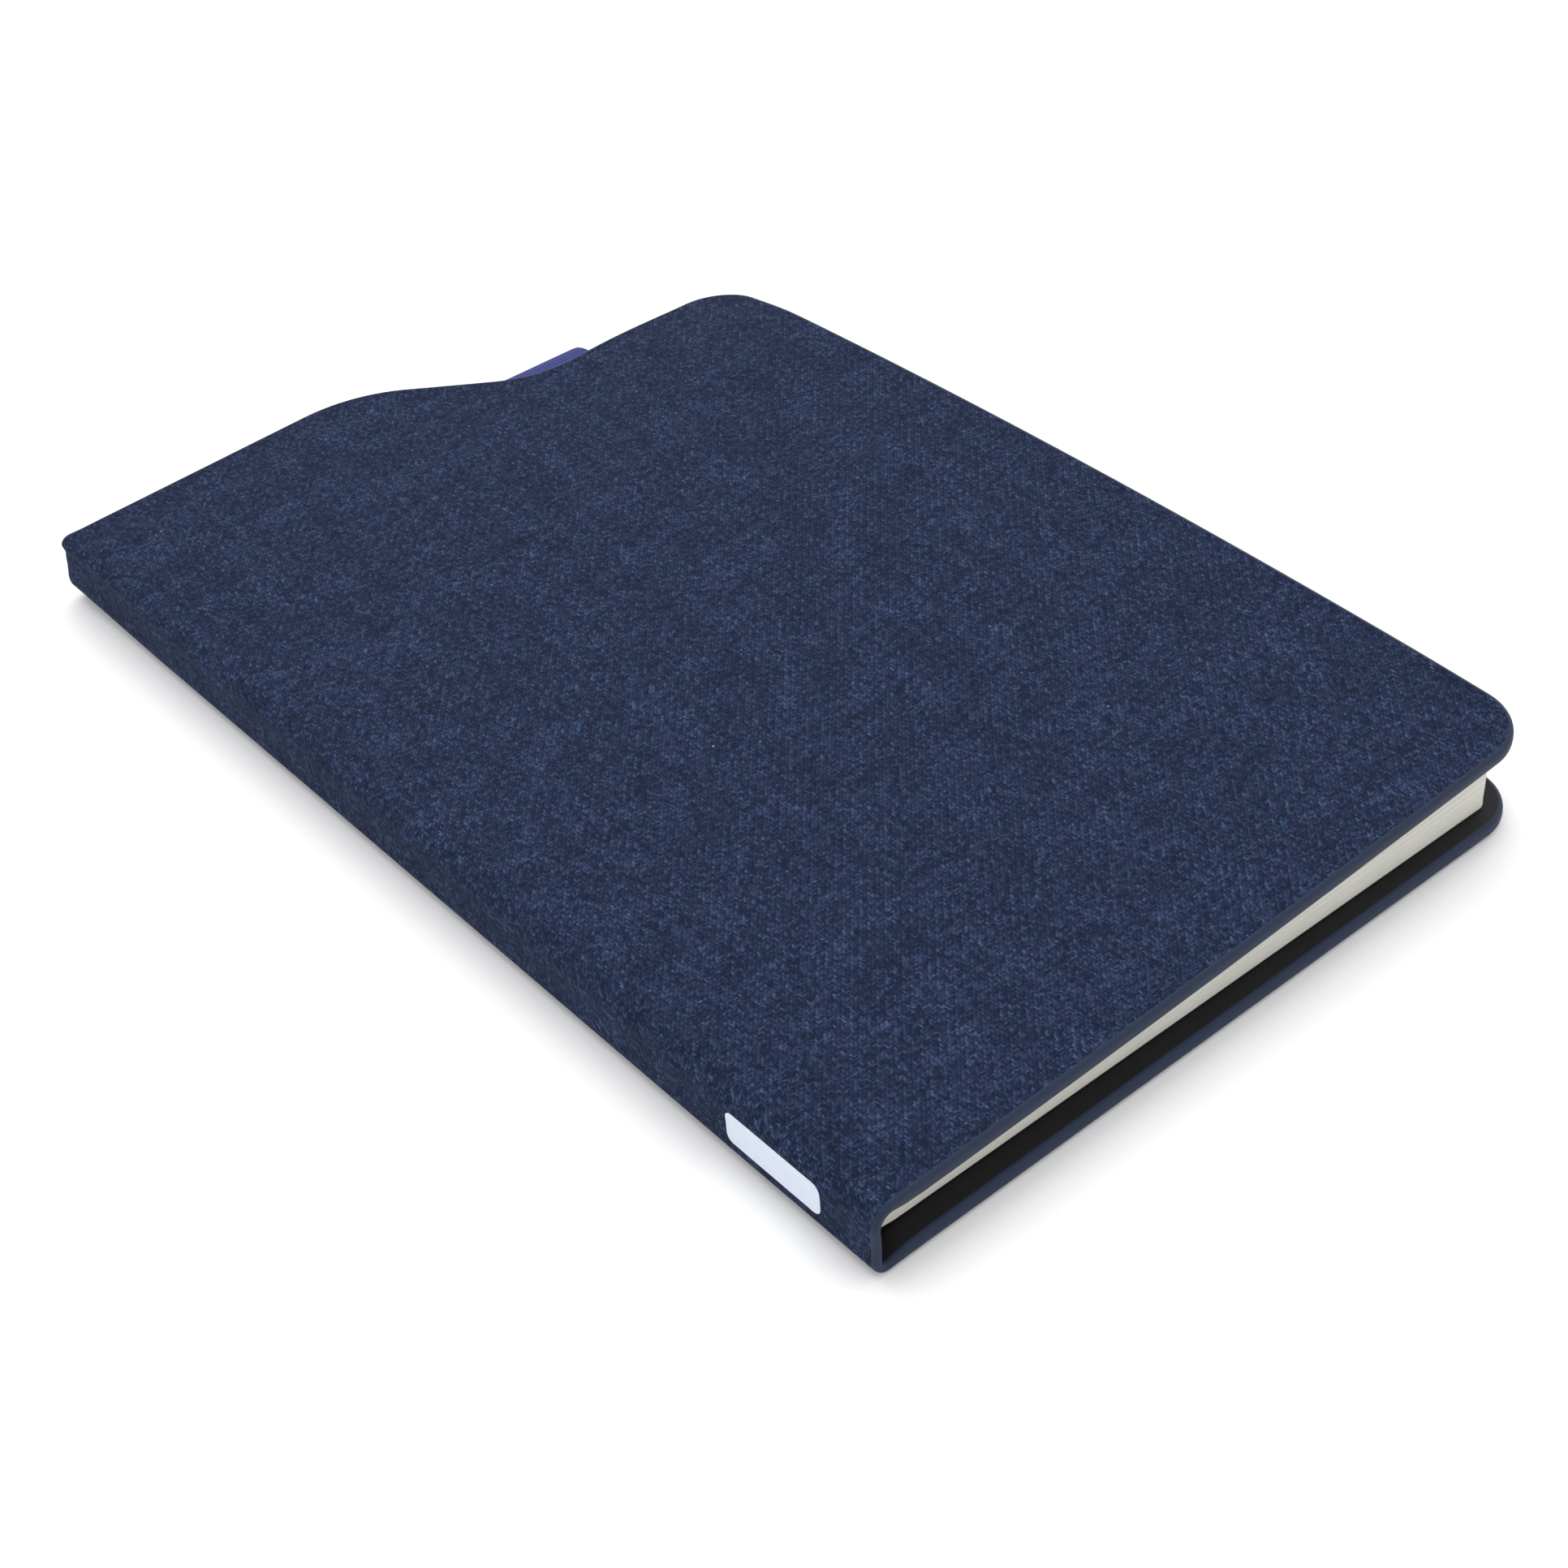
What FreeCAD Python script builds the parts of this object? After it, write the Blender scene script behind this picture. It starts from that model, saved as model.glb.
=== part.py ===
import FreeCAD, Part

import math
import os

import Sketcher

# A cloth-bound logbook lying closed on its back cover. +X runs from the spine to the fore-edge,
# +Y from the tail to the head and +Z up, and the origin is under the middle of the book.
# The head edge falls in an S-shaped step about halfway across, and a flat elastic pen loop
# stands in the step.

OUT = "parts"

DIMENSIONS = {
    # The whole book
    "cover_width": 130.0,            # spine's outer face to fore-edge
    "cover_length": 210.0,           # tail to head
    "spine_height": 12.0,            # back cover's underside to front cover's top, at the spine
    "cover_thickness": 2.4,
    "front_rise": 1.75,              # degrees that the closed front cover stands open
    # The outline of both covers and of the pages
    "corner_radius": 9.0,
    "head_step": 22.5,               # how far the head edge falls
    "wave_start": 50.0,              # from the spine's outer face to the start of the fall
    "wave_end": 94.0,
    "crest_radius": 27.5,
    "valley_radius": 21.0,
    # The layers of a cover
    "cloth_thickness": 0.5,
    "pastedown_thickness": 0.3,
    "seal_width": 0.6,               # the sealed rim round each cover's edge
    "hinge_inset": 2.4,              # hinge lines, in from the spine's outer face
    "rigid_start": 3.1,              # where the stiff cover begins, beyond its hinge line
    # The spine
    "spine_board_thickness": 1.2,
    "spine_lining_thickness": 0.2,
    "label_length": 21.0,
    "label_tall": 7.0,
    "label_from_tail": 10.5,
    "label_thickness": 0.1,
    "label_radius": 1.5,
    # The pages
    "page_overhang": 3.0,            # how far the covers stand out past the pages
    "gutter_inset": 3.0,             # the pages' turning line, in from the spine's outer face
    "fold_start": 0.1,
    "flyleaf_thickness": 0.12,
    "page_clearance": 0.02,
    "mull_thickness": 0.2,
    "mull_inset": 2.4,
    "thread_diameter": 0.3,
    "thread_inset": 2.85,
    # The pen loop
    "loop_width": 20.0,
    "loop_centre": 98.5,             # from the spine's outer face
    "loop_inner_gap": 1.4,           # from the cover's low head edge to the loop
    "loop_depth": 18.6,              # how far the loop runs towards the head
    "loop_tall": 7.0,
    "band_thickness": 0.9,
    "tab_length": 10.0,              # the part of the band held inside the back cover
    "tab_thickness": 1.0,
}

SIGNATURES = 10                      # folded sections of the pages, eight leaves each
STITCH_STATIONS = 6
SLACK = 0.02                         # room between curved layers that lie on each other


def make_sheet(doc):
    sheet = doc.addObject("Spreadsheet::Sheet", "Sizes")
    for row, (alias, number) in enumerate(DIMENSIONS.items(), start=1):
        sheet.set(f"A{row}", alias.replace("_", " "))
        sheet.set(f"B{row}", str(number))
        sheet.setAlias(f"B{row}", alias)
    doc.recompute()
    return sheet


doc = FreeCAD.newDocument("Logbook")
sizes = make_sheet(doc)


def size(alias):
    return float(sizes.get(alias))


HALF_LENGTH = size("cover_length") / 2
SPINE_FACE = -size("cover_width") / 2
HINGE_X = SPINE_FACE + size("hinge_inset")
GUTTER_X = SPINE_FACE + size("gutter_inset")
BACK_HINGE_Z = size("cover_thickness")
FRONT_HINGE_Z = size("spine_height") - size("cover_thickness")
UPWARDS = FreeCAD.Vector(0, 1, 0)    # a turn about this axis lifts the fore-edge when negative


def new_body(label):
    body = doc.addObject("PartDesign::Body", label)
    body.Label = label
    return body


def new_sketch(body, name, plane_role, offset="0"):
    """A sketch on one of the body's own origin planes, moved off it by an expression."""
    plane = next(f for f in body.Origin.OriginFeatures if f.Role == plane_role)
    sketch = body.newObject("Sketcher::SketchObject", name)
    sketch.AttachmentSupport = [(plane, "")]
    sketch.MapMode = "FlatFace"
    if offset != "0":
        sketch.setExpression("AttachmentOffset.Base.z", offset)
    return sketch


def bind(sketch, constraint, name, expression):
    """Adds a size constraint, names it, and ties it to the sheet."""
    index = sketch.addConstraint(constraint)
    sketch.renameConstraint(index, name)
    sketch.setExpression(f"Constraints.{name}", expression)


def pad(body, sketch, name, length, reverse=False, both_ways=False):
    feature = body.newObject("PartDesign::Pad", name)
    feature.Profile = sketch
    feature.setExpression("Length", length)
    feature.Reversed = reverse
    if both_ways:
        feature.SideType = "Symmetric"
    sketch.Visibility = False
    return feature


def pocket_through(body, sketch, name):
    """Cuts the sketch right through the body, and checks that something was cut away."""
    doc.recompute()
    before = body.Shape.Volume
    feature = body.newObject("PartDesign::Pocket", name)
    feature.Profile = sketch
    feature.Type = "ThroughAll"
    feature.SideType = "Symmetric"
    doc.recompute()
    if body.Shape.Volume > before - 1e-3:
        raise RuntimeError(f"{name} cut nothing")
    return feature


def wave_slope():
    """The falling line's angle below level: it touches both round stretches of the wave."""
    across = size("wave_end") - size("wave_start")
    down = size("crest_radius") + size("valley_radius") - size("head_step")
    reach = math.hypot(across, down)
    return math.asin((size("crest_radius") + size("valley_radius")) / reach) - math.atan2(down, across)


def draw_outline(sketch, start, inset, line_inset):
    """The outline of a cover or a page, seen from above: square at the spine, round at the
    fore-edge, with the wave in the head edge. start is where it begins beyond the sketch's
    origin, inset is how far it lies inside the cover's outline, and line_inset is the sheet's
    name for where the origin lies, in from the spine's outer face."""
    gap = sizes.get(inset) if inset else 0.0
    begin = size(start)
    origin = size(line_inset)
    fore = size("cover_width") - origin - gap
    head = HALF_LENGTH - gap
    low = HALF_LENGTH - size("head_step") - gap
    corner = size("corner_radius") - gap
    crest = size("crest_radius") - gap
    valley = size("valley_radius") + gap
    crest_x = size("wave_start") - origin
    valley_x = size("wave_end") - origin
    slope = wave_slope()
    lean = FreeCAD.Vector(math.sin(slope), math.cos(slope), 0)
    crest_centre = FreeCAD.Vector(crest_x, head - crest, 0)
    valley_centre = FreeCAD.Vector(valley_x, low + valley, 0)

    def line(x0, y0, x1, y1):
        return Part.LineSegment(FreeCAD.Vector(x0, y0, 0), FreeCAD.Vector(x1, y1, 0))

    def arc(centre, radius, first, last):
        circle = Part.Circle(centre, FreeCAD.Vector(0, 0, 1), radius)
        return Part.ArcOfCircle(circle, first, last)

    quarter = math.pi / 2
    top_of_fall = crest_centre + lean * crest
    foot_of_fall = valley_centre - lean * valley
    sketch.addGeometry([
        line(begin, -head, fore - corner, -head),
        arc(FreeCAD.Vector(fore - corner, corner - head, 0), corner, -quarter, 0),
        line(fore, corner - head, fore, low - corner),
        arc(FreeCAD.Vector(fore - corner, low - corner, 0), corner, 0, quarter),
        line(fore - corner, low, valley_x, low),
        arc(valley_centre, valley, -quarter - slope, -quarter),
        line(foot_of_fall.x, foot_of_fall.y, top_of_fall.x, top_of_fall.y),
        arc(crest_centre, crest, quarter - slope, quarter),
        line(crest_x, head, begin, head),
        line(begin, head, begin, -head),
    ])
    tail, tail_corner, fore_edge, head_corner, low_edge = 0, 1, 2, 3, 4
    valley_arc, fall, crest_arc, high_edge, spine_edge = 5, 6, 7, 8, 9
    first, last, middle = 1, 2, 3
    whole, origin_point = -1, 1
    smooth_joins = [
        (tail, last, tail_corner, first),
        (tail_corner, last, fore_edge, first),
        (fore_edge, last, head_corner, first),
        (head_corner, last, low_edge, first),
        (low_edge, last, valley_arc, last),
        (valley_arc, first, fall, first),
        (fall, last, crest_arc, first),
        (crest_arc, last, high_edge, first),
    ]
    for join in smooth_joins:
        sketch.addConstraint(Sketcher.Constraint("Tangent", *join))
    for join in [(high_edge, last, spine_edge, first), (spine_edge, last, tail, first)]:
        sketch.addConstraint(Sketcher.Constraint("Coincident", *join))
    for level in (tail, low_edge, high_edge):
        sketch.addConstraint(Sketcher.Constraint("Horizontal", level))
    for upright in (fore_edge, spine_edge):
        sketch.addConstraint(Sketcher.Constraint("Vertical", upright))

    less = f" - Sizes.{inset}" if inset else ""
    more = f" + Sizes.{inset}" if inset else ""
    away = f" - Sizes.{line_inset}"
    length = "Sizes.cover_length / 2"
    step = " - Sizes.head_step"
    rule = Sketcher.Constraint
    bind(sketch, rule("DistanceY", tail, first, whole, origin_point, head), "tail", length + less)
    bind(sketch, rule("DistanceX", whole, origin_point, tail, first, begin), "begin", f"Sizes.{start}")
    bind(sketch, rule("DistanceX", whole, origin_point, fore_edge, first, fore), "fore",
         "Sizes.cover_width" + away + less)
    bind(sketch, rule("Radius", tail_corner, corner), "tail_round", "Sizes.corner_radius" + less)
    bind(sketch, rule("Radius", head_corner, corner), "head_round", "Sizes.corner_radius" + less)
    bind(sketch, rule("Radius", crest_arc, crest), "crest", "Sizes.crest_radius" + less)
    bind(sketch, rule("Radius", valley_arc, valley), "valley", "Sizes.valley_radius" + more)
    bind(sketch, rule("DistanceX", whole, origin_point, crest_arc, middle, crest_x), "crest_x",
         "Sizes.wave_start" + away)
    bind(sketch, rule("DistanceX", whole, origin_point, valley_arc, middle, valley_x), "valley_x",
         "Sizes.wave_end" + away)
    bind(sketch, rule("DistanceY", whole, origin_point, crest_arc, middle, head - crest), "crest_y",
         length + " - Sizes.crest_radius")
    bind(sketch, rule("DistanceY", whole, origin_point, valley_arc, middle, low + valley), "valley_y",
         length + step + " + Sizes.valley_radius")


def draw_rectangle(sketch, low_x, low_y, high_x, high_y):
    """A rectangle. Each side is a pair: its number, and the expression that it is tied to."""
    corners = [(low_x[0], low_y[0]), (high_x[0], low_y[0]), (high_x[0], high_y[0]), (low_x[0], high_y[0])]
    points = [FreeCAD.Vector(x, y, 0) for x, y in corners]
    for index, point in enumerate(points):
        sketch.addGeometry(Part.LineSegment(point, points[(index + 1) % 4]))
    for index in range(4):
        sketch.addConstraint(Sketcher.Constraint("Coincident", index, 2, (index + 1) % 4, 1))
        direction = "Horizontal" if index % 2 == 0 else "Vertical"
        sketch.addConstraint(Sketcher.Constraint(direction, index))
    sides = [("DistanceX", 0, 1, low_x, "low_x"), ("DistanceY", 0, 1, low_y, "low_y"),
             ("DistanceX", 2, 1, high_x, "high_x"), ("DistanceY", 2, 1, high_y, "high_y")]
    for kind, edge, end, (number, expression), name in sides:
        if number < 0:
            bind(sketch, Sketcher.Constraint(kind, edge, end, -1, 1, -number), name, f"-({expression})")
        else:
            bind(sketch, Sketcher.Constraint(kind, -1, 1, edge, end, number), name, expression)


def sized(expression):
    """The number that an expression over the sheet's names gives now, with the expression."""
    terms = expression.split()
    total = 0.0
    sign = 1
    for term in terms:
        if term in "+-":
            sign = -1 if term == "-" else 1
            continue
        factor = 1.0
        if term.endswith("/2"):
            factor = 0.5
            term = term[:-2]
        number = size(term[len("Sizes."):]) if term.startswith("Sizes.") else float(term)
        total += sign * factor * number
    return total, expression


def outlined_plate(label, start, inset, line_inset, base, thickness):
    """A flat layer with the book's outline. base is the expression for its lower face."""
    body = new_body(label)
    sketch = new_sketch(body, label + "_outline", "XY_Plane", base)
    draw_outline(sketch, start, inset, line_inset)
    pad(body, sketch, label + "_pad", thickness)
    return body


def cover_at(body, height, rise):
    """Stands a cover's layer on its hinge line, turned up by the rise in degrees."""
    turn = FreeCAD.Rotation(UPWARDS, -rise)
    body.Placement = FreeCAD.Placement(FreeCAD.Vector(HINGE_X, 0, height), turn)


def board_thickness():
    return "Sizes.cover_thickness - Sizes.cloth_thickness - Sizes.pastedown_thickness"


def edge_seal(label, base):
    """The sealed rim round a cover: the whole outline, less the same outline drawn further in."""
    body = outlined_plate(label, "rigid_start", "", "hinge_inset", base, "Sizes.cover_thickness")
    inside = new_sketch(body, label + "_inside", "XY_Plane")
    draw_outline(inside, "seal_width", "seal_width", "hinge_inset")
    pocket_through(body, inside, label + "_opening")
    return body


def front_cover():
    """Pastedown inside, board in the middle and cloth on top, with the sealed rim round them."""
    layers = [
        ("front_pastedown", "0", "Sizes.pastedown_thickness"),
        ("front_board", "Sizes.pastedown_thickness", board_thickness()),
        ("front_cloth", "Sizes.cover_thickness - Sizes.cloth_thickness", "Sizes.cloth_thickness"),
    ]
    for label, base, thickness in layers:
        layer = outlined_plate(label, "rigid_start", "seal_width", "hinge_inset", base, thickness)
        cover_at(layer, FRONT_HINGE_Z, size("front_rise"))
    cover_at(edge_seal("front_edge_seal", "0"), FRONT_HINGE_Z, size("front_rise"))


def back_cover():
    """The same layers the other way up. The board has a pocket that holds the pen loop's tab."""
    layers = [
        ("back_pastedown", "-Sizes.pastedown_thickness", "Sizes.pastedown_thickness"),
        ("back_board", "Sizes.cloth_thickness - Sizes.cover_thickness", board_thickness()),
        ("back_cloth", "-Sizes.cover_thickness", "Sizes.cloth_thickness"),
    ]
    for label, base, thickness in layers:
        layer = outlined_plate(label, "rigid_start", "seal_width", "hinge_inset", base, thickness)
        cover_at(layer, BACK_HINGE_Z, 0)
        if label == "back_board":
            cut_tab_pocket(layer, "Sizes.tab_thickness + Sizes.pastedown_thickness")
    seal = edge_seal("back_edge_seal", "-Sizes.cover_thickness")
    cut_tab_pocket(seal, "Sizes.tab_thickness + Sizes.pastedown_thickness")
    cover_at(seal, BACK_HINGE_Z, 0)


LOOP_X = "Sizes.loop_centre - Sizes.hinge_inset"
LOW_HEAD = "Sizes.cover_length/2 - Sizes.head_step"


def cut_tab_pocket(body, depth):
    """A shallow pocket from the head edge, open at the top, under the pastedown."""
    doc.recompute()
    before = body.Shape.Volume
    sketch = new_sketch(body, body.Label + "_tab_place", "XY_Plane", f"-({depth})")
    draw_rectangle(
        sketch,
        sized(f"{LOOP_X} - Sizes.loop_width/2"),
        sized(f"{LOW_HEAD} - Sizes.tab_length"),
        sized(f"{LOOP_X} + Sizes.loop_width/2"),
        sized(f"{LOW_HEAD} + Sizes.corner_radius"),
    )
    feature = body.newObject("PartDesign::Pocket", body.Label + "_tab_pocket")
    feature.Profile = sketch
    feature.setExpression("Length", "Sizes.tab_thickness")
    feature.Reversed = True
    doc.recompute()
    if body.Shape.Volume > before - 1e-3:
        raise RuntimeError(f"{body.Label} has no pocket for the tab")


def joint_strip(label, outer, inner, front):
    """One layer of the flexible strip between the spine and a cover: a quarter round about the
    hinge line, then a flat run towards the cover. outer and inner are its two faces' radii."""
    body = new_body(label)
    sketch = new_sketch(body, label + "_section", "XZ_Plane")
    outer_radius, outer_rule = sized(outer)
    inner_radius, inner_rule = sized(inner)
    run, run_rule = sized("Sizes.rigid_start - 0.2")
    normal = FreeCAD.Vector(0, 0, 1)
    centre = FreeCAD.Vector(0, 0, 0)
    sketch.addGeometry([
        Part.ArcOfCircle(Part.Circle(centre, normal, outer_radius), math.pi / 2, math.pi),
        Part.LineSegment(FreeCAD.Vector(-outer_radius, 0, 0), FreeCAD.Vector(-inner_radius, 0, 0)),
        Part.ArcOfCircle(Part.Circle(centre, normal, inner_radius), math.pi / 2, math.pi),
        Part.LineSegment(FreeCAD.Vector(0, inner_radius, 0), FreeCAD.Vector(run, inner_radius, 0)),
        Part.LineSegment(FreeCAD.Vector(run, inner_radius, 0), FreeCAD.Vector(run, outer_radius, 0)),
        Part.LineSegment(FreeCAD.Vector(run, outer_radius, 0), FreeCAD.Vector(0, outer_radius, 0)),
    ])
    rule = Sketcher.Constraint
    outer_arc, cut_end, inner_arc, under, far_end, top = range(6)
    for join in [(outer_arc, 2, cut_end, 1), (cut_end, 2, inner_arc, 2), (under, 2, far_end, 1),
                 (far_end, 2, top, 1)]:
        sketch.addConstraint(rule("Coincident", *join))
    for join in [(inner_arc, 1, under, 1), (top, 2, outer_arc, 1)]:
        sketch.addConstraint(rule("Tangent", *join))
    for arc in (outer_arc, inner_arc):
        sketch.addConstraint(rule("Coincident", arc, 3, -1, 1))
    for level in (cut_end, top):
        sketch.addConstraint(rule("Horizontal", level))
    sketch.addConstraint(rule("PointOnObject", cut_end, 1, -1))
    sketch.addConstraint(rule("Vertical", far_end))
    bind(sketch, rule("Radius", outer_arc, outer_radius), "outer", outer_rule)
    bind(sketch, rule("Radius", inner_arc, inner_radius), "inner", inner_rule)
    bind(sketch, rule("DistanceX", -1, 1, under, 2, run), "run", run_rule)
    pad(body, sketch, label + "_pad", "Sizes.cover_length", both_ways=True)
    upright = FreeCAD.Rotation() if front else FreeCAD.Rotation(FreeCAD.Vector(1, 0, 0), 180)
    height = FRONT_HINGE_Z if front else BACK_HINGE_Z
    body.Placement = FreeCAD.Placement(FreeCAD.Vector(HINGE_X, 0, height), upright)


def joints():
    lining_outer = f"Sizes.hinge_inset - Sizes.cloth_thickness - {SLACK}"
    lining_inner = "Sizes.hinge_inset - Sizes.cloth_thickness - Sizes.pastedown_thickness"
    for side in ("front", "back"):
        is_front = side == "front"
        joint_strip(f"{side}_joint_cloth", "Sizes.hinge_inset",
                    "Sizes.hinge_inset - Sizes.cloth_thickness", is_front)
        joint_strip(f"{side}_joint_lining", lining_outer, lining_inner, is_front)


def spine_strip(label, inset, thickness, margin="0"):
    """An upright strip of the spine, its outer face inset from the spine's outer face."""
    strip = doc.addObject("Part::Box", label)
    strip.Label = label
    strip.setExpression("Length", thickness)
    strip.setExpression("Width", f"Sizes.cover_length - 2 * {margin}")
    strip.setExpression("Height", "Sizes.spine_height - 2 * Sizes.cover_thickness")
    strip.setExpression("Placement.Base.x", f"{inset} - Sizes.cover_width / 2")
    strip.setExpression("Placement.Base.y", f"{margin} - Sizes.cover_length / 2")
    strip.setExpression("Placement.Base.z", "Sizes.cover_thickness")
    return strip


def spine_cloth():
    """The spine's cloth, with a shallow place pressed into its outer face for the label."""
    body = new_body("spine_cloth")
    sketch = new_sketch(body, "spine_cloth_outline", "YZ_Plane")
    draw_rectangle(sketch, sized("0 - Sizes.cover_length/2"), sized("Sizes.cover_thickness"),
                   sized("Sizes.cover_length/2"), sized("Sizes.spine_height - Sizes.cover_thickness"))
    pad(body, sketch, "spine_cloth_pad", "Sizes.cloth_thickness")
    doc.recompute()
    before = body.Shape.Volume
    place = new_sketch(body, "label_place", "YZ_Plane")
    draw_label(place)
    feature = body.newObject("PartDesign::Pocket", "label_pocket")
    feature.Profile = place
    feature.setExpression("Length", "Sizes.label_thickness")
    feature.Reversed = True
    doc.recompute()
    if body.Shape.Volume > before - 1e-3:
        raise RuntimeError("the spine's cloth has no place for the label")
    body.Placement = FreeCAD.Placement(FreeCAD.Vector(SPINE_FACE, 0, 0), FreeCAD.Rotation())


def draw_label(sketch):
    """The label's outline: a rectangle, centred on the spine's height."""
    middle = "Sizes.spine_height/2"
    draw_rectangle(
        sketch,
        sized("Sizes.label_from_tail - Sizes.cover_length/2"),
        sized(f"{middle} - Sizes.label_tall/2"),
        sized("Sizes.label_from_tail + Sizes.label_length - Sizes.cover_length/2"),
        sized(f"{middle} + Sizes.label_tall/2"),
    )


def spine_label():
    """A thin plain label with round corners, pressed flush into the spine's cloth."""
    body = new_body("spine_label")
    sketch = new_sketch(body, "spine_label_outline", "YZ_Plane")
    draw_label(sketch)
    plain = pad(body, sketch, "spine_label_pad", "Sizes.label_thickness")
    doc.recompute()
    thin_edges = [
        f"Edge{index}"
        for index, edge in enumerate(body.Shape.Edges, start=1)
        if abs(edge.Length - size("label_thickness")) < 1e-6
    ]
    fillet = body.newObject("PartDesign::Fillet", "spine_label_round")
    fillet.Base = (plain, thin_edges)
    fillet.setExpression("Radius", "Sizes.label_radius")
    body.Placement = FreeCAD.Placement(FreeCAD.Vector(SPINE_FACE, 0, 0), FreeCAD.Rotation())


def spine():
    spine_cloth()
    spine_label()
    spine_strip("spine_board", "Sizes.cloth_thickness", "Sizes.spine_board_thickness", "Sizes.seal_width")
    spine_strip("spine_lining", "(Sizes.cloth_thickness + Sizes.spine_board_thickness)",
                "Sizes.spine_lining_thickness")


def page_stack():
    """The black flyleaves and the sections of cream pages between them. Their spacing at the
    gutter fills the room between the covers, and they fan out evenly towards the fore-edge."""
    room = size("spine_height") - 2 * size("cover_thickness")
    clearance = size("page_clearance")
    flyleaf = size("flyleaf_thickness")
    signature = (room - 2 * flyleaf - (SIGNATURES + 3) * clearance) / SIGNATURES
    thin = "Sizes.flyleaf_thickness"
    thick = (f"(Sizes.spine_height - 2 * Sizes.cover_thickness - 2 * Sizes.flyleaf_thickness"
             f" - {SIGNATURES + 3} * Sizes.page_clearance) / {SIGNATURES}")
    layers = [("back_flyleaf", thin, flyleaf)]
    layers += [(f"leaves_{number:02d}", thick, signature) for number in range(SIGNATURES, 0, -1)]
    layers += [("front_flyleaf", thin, flyleaf)]
    height = BACK_HINGE_Z + clearance
    for level, (label, thickness, number) in enumerate(layers):
        body = outlined_plate(label, "fold_start", "page_overhang", "gutter_inset", "0", thickness)
        turn = FreeCAD.Rotation(UPWARDS, -size("front_rise") * level / len(layers))
        body.Placement = FreeCAD.Placement(FreeCAD.Vector(GUTTER_X, 0, height), turn)
        height += number + clearance


def binding():
    """What joins the pages at the gutter: thread along the folds, and gauze over the thread."""
    mull = doc.addObject("Part::Box", "mull")
    mull.Label = "mull"
    mull.setExpression("Length", "Sizes.mull_thickness")
    mull.setExpression("Width", "Sizes.cover_length - 4 * Sizes.page_overhang")
    mull.setExpression("Height", "Sizes.spine_height - 2 * Sizes.cover_thickness - 2 * Sizes.mull_thickness")
    mull.setExpression("Placement.Base.x", "Sizes.mull_inset - Sizes.cover_width / 2")
    mull.setExpression("Placement.Base.y", "2 * Sizes.page_overhang - Sizes.cover_length / 2")
    mull.setExpression("Placement.Base.z", "Sizes.cover_thickness + Sizes.mull_thickness")
    stitches = []
    for station in range(STITCH_STATIONS):
        stitch = doc.addObject("Part::Cylinder", f"stitch_{station + 1}")
        stitch.setExpression("Radius", "Sizes.thread_diameter / 2")
        stitch.setExpression("Height", "Sizes.spine_height - 2 * Sizes.cover_thickness"
                                       " - 2 * Sizes.thread_diameter")
        stitch.setExpression("Placement.Base.x", "Sizes.thread_inset - Sizes.cover_width / 2")
        share = (station + 0.5) / STITCH_STATIONS - 0.5
        stitch.setExpression("Placement.Base.y", f"Sizes.cover_length * {share}")
        stitch.setExpression("Placement.Base.z", "Sizes.cover_thickness + Sizes.thread_diameter")
        stitches.append(stitch)
    thread = doc.addObject("Part::Compound", "sewing_thread")
    thread.Label = "sewing_thread"
    thread.Links = stitches


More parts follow.
